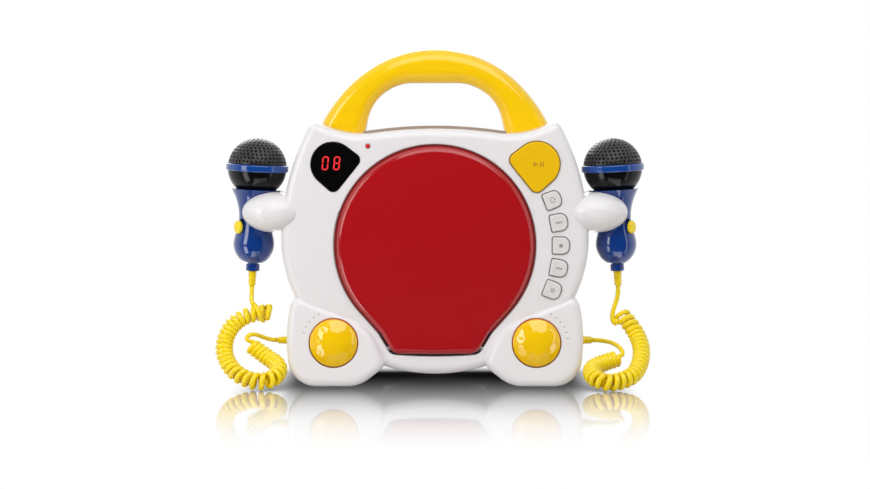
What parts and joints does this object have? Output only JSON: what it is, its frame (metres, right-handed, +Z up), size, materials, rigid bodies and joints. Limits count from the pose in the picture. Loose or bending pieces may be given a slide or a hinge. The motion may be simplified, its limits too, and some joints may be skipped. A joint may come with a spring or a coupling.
{
  "type": "karaoke machine",
  "caption": "Karaoke machine with a round hinged lid over an upright disc well, a carrying handle, knobs, keys and a microphone on a curly cord in a clip at each side",
  "frame": {"origin": "under the middle of the machine, on the surface it stands on", "axes": "+X to the machine's right seen from the front, +Y to the back, +Z up"},
  "size_m": [0.3071, 0.1241, 0.2379],
  "materials": {
    "white_plastic": "moulded, satin gloss",
    "yellow_plastic": "smooth gloss",
    "red_lid_plastic": "smooth gloss, slightly see-through in life",
    "white_key_plastic": "satin",
    "yellow_key_plastic": "satin",
    "yellow_knob_plastic": "smooth gloss",
    "yellow_cord": "soft cord jacket",
    "blue_plastic": "smooth gloss",
    "light_blue_plastic": "satin",
    "black_ball": "matte",
    "black_plastic": "matte",
    "dark_plastic": "matte",
    "grey_plastic": "matte",
    "ivory_plastic": "matte",
    "black_rubber": "soft",
    "smoke_window": "black tint, smooth gloss",
    "red_digits": "lit figures on a dark module",
    "red_light": "clear dome",
    "lens_glass": "polished",
    "circuit_board": "lacquered board",
    "steel": "plain"
  },
  "bodies": {
    "case": {"front_shell": "white_plastic", "rear_shell": "white_plastic", "handle": "yellow_plastic", "lid_hinge_pin": "steel", "disc_well": "grey_plastic", "mech_chassis": "dark_plastic", "mech_dampers": "black_rubber", "spindle_motor": "steel", "guide_rods": "steel", "sled_motor": "steel", "display_window": "smoke_window", "display_module": "red_digits", "status_led": "red_light", "key_board": "circuit_board", "control_pots": "steel", "speakers": "black_plastic", "main_board": "circuit_board", "rear_jacks": "black_plastic", "battery_box": "white_plastic", "battery_contacts": "steel", "case_screws": "steel", "foot_pads": "black_rubber", "left_mic_holder": "white_plastic", "left_cable_gland": "yellow_cord", "left_cord_mic_run": "yellow_cord", "left_cord_coil": "yellow_cord", "left_cord_case_run": "yellow_cord", "right_mic_holder": "white_plastic", "right_cable_gland": "yellow_cord", "right_cord_mic_run": "yellow_cord", "right_cord_coil": "yellow_cord", "right_cord_case_run": "yellow_cord"},
    "lid": {"disc_lid": "red_lid_plastic"},
    "disc_spindle": {"spindle_hub": "black_plastic"},
    "pickup": {"pickup_sled": "dark_plastic", "pickup_lens": "lens_glass"},
    "gear": {"sled_gear": "ivory_plastic"},
    "play": {"play_button": "yellow_key_plastic"},
    "repeat": {"repeat_button": "white_key_plastic"},
    "skip_forward": {"skip_forward_button": "white_key_plastic"},
    "stop": {"stop_button": "white_key_plastic"},
    "skip_back": {"skip_back_button": "white_key_plastic"},
    "mode": {"mode_button": "white_key_plastic"},
    "left_knob": {"microphone_knob": "yellow_knob_plastic"},
    "right_knob": {"volume_knob": "yellow_knob_plastic"},
    "battery_cover": {"battery_door": "white_plastic"},
    "left_microphone": {"left_mic_handle": "blue_plastic", "left_mic_bowl": "black_ball", "left_mic_grille": "black_ball", "left_mic_band": "light_blue_plastic", "left_mic_capsule": "steel", "left_mic_boot": "yellow_cord"},
    "right_microphone": {"right_mic_handle": "blue_plastic", "right_mic_bowl": "black_ball", "right_mic_grille": "black_ball", "right_mic_band": "light_blue_plastic", "right_mic_capsule": "steel", "right_mic_boot": "yellow_cord"},
    "left_slider": {"left_mic_switch": "yellow_key_plastic"},
    "right_slider": {"right_mic_switch": "yellow_key_plastic"}
  },
  "joints": [
    {"name": "lid_hinge", "type": "hinge", "parent": "case", "child": "lid", "pos_m": [0, -0.0424, 0.0277], "axis": [1, 0, 0], "range_deg": [0, 75]},
    {"name": "spindle_spin", "type": "hinge", "parent": "case", "child": "disc_spindle", "pos_m": [0, -0.036, 0.1003], "axis": [0, 1, 0], "continuous": true},
    {"name": "sled_slide", "type": "slide", "parent": "case", "child": "pickup", "axis": [0, 0, -1], "range_m": [0, 0.033]},
    {"name": "sled_gear_spin", "type": "hinge", "parent": "case", "child": "gear", "pos_m": [0.0286, -0.0255, 0.058], "axis": [0, -1, 0], "range_deg": [0, 305]},
    {"name": "play_press", "type": "slide", "parent": "case", "child": "play", "axis": [0, 1, 0], "range_m": [0, 0.001], "stiffness_N_per_m": 600},
    {"name": "repeat_press", "type": "slide", "parent": "case", "child": "repeat", "axis": [0, 1, 0], "range_m": [0, 0.001], "stiffness_N_per_m": 600},
    {"name": "skip_forward_press", "type": "slide", "parent": "case", "child": "skip_forward", "axis": [0, 1, 0], "range_m": [0, 0.001], "stiffness_N_per_m": 600},
    {"name": "stop_press", "type": "slide", "parent": "case", "child": "stop", "axis": [0, 1, 0], "range_m": [0, 0.001], "stiffness_N_per_m": 600},
    {"name": "skip_back_press", "type": "slide", "parent": "case", "child": "skip_back", "axis": [0, 1, 0], "range_m": [0, 0.001], "stiffness_N_per_m": 600},
    {"name": "mode_press", "type": "slide", "parent": "case", "child": "mode", "axis": [0, 1, 0], "range_m": [0, 0.001], "stiffness_N_per_m": 600},
    {"name": "microphone_turn", "type": "hinge", "parent": "case", "child": "left_knob", "pos_m": [-0.0712, -0.05, 0.0321], "axis": [0, 1, 0], "range_deg": [0, 280]},
    {"name": "volume_turn", "type": "hinge", "parent": "case", "child": "right_knob", "pos_m": [0.0712, -0.05, 0.0321], "axis": [0, 1, 0], "range_deg": [0, 280]},
    {"name": "battery_door_hinge", "type": "hinge", "parent": "case", "child": "battery_cover", "pos_m": [0, 0.0536, 0.0233], "axis": [-1, 0, 0], "range_deg": [0, 100]},
    {"name": "left_mic_pull", "type": "slide", "parent": "case", "child": "left_microphone", "axis": [-1, 0, 0], "range_m": [0, 0.034]},
    {"name": "right_mic_pull", "type": "slide", "parent": "case", "child": "right_microphone", "axis": [1, 0, 0], "range_m": [0, 0.034]},
    {"name": "left_switch_slide", "type": "slide", "parent": "left_microphone", "child": "left_slider", "axis": [0.0523, 0, 0.9986], "range_m": [0, 0.004]},
    {"name": "right_switch_slide", "type": "slide", "parent": "right_microphone", "child": "right_slider", "axis": [-0.0523, 0, 0.9986], "range_m": [0, 0.004]}
  ],
  "couplings": [
    {"joint": "sled_gear_spin", "follows": "sled_slide", "rad_per_m": 142.86}
  ]
}
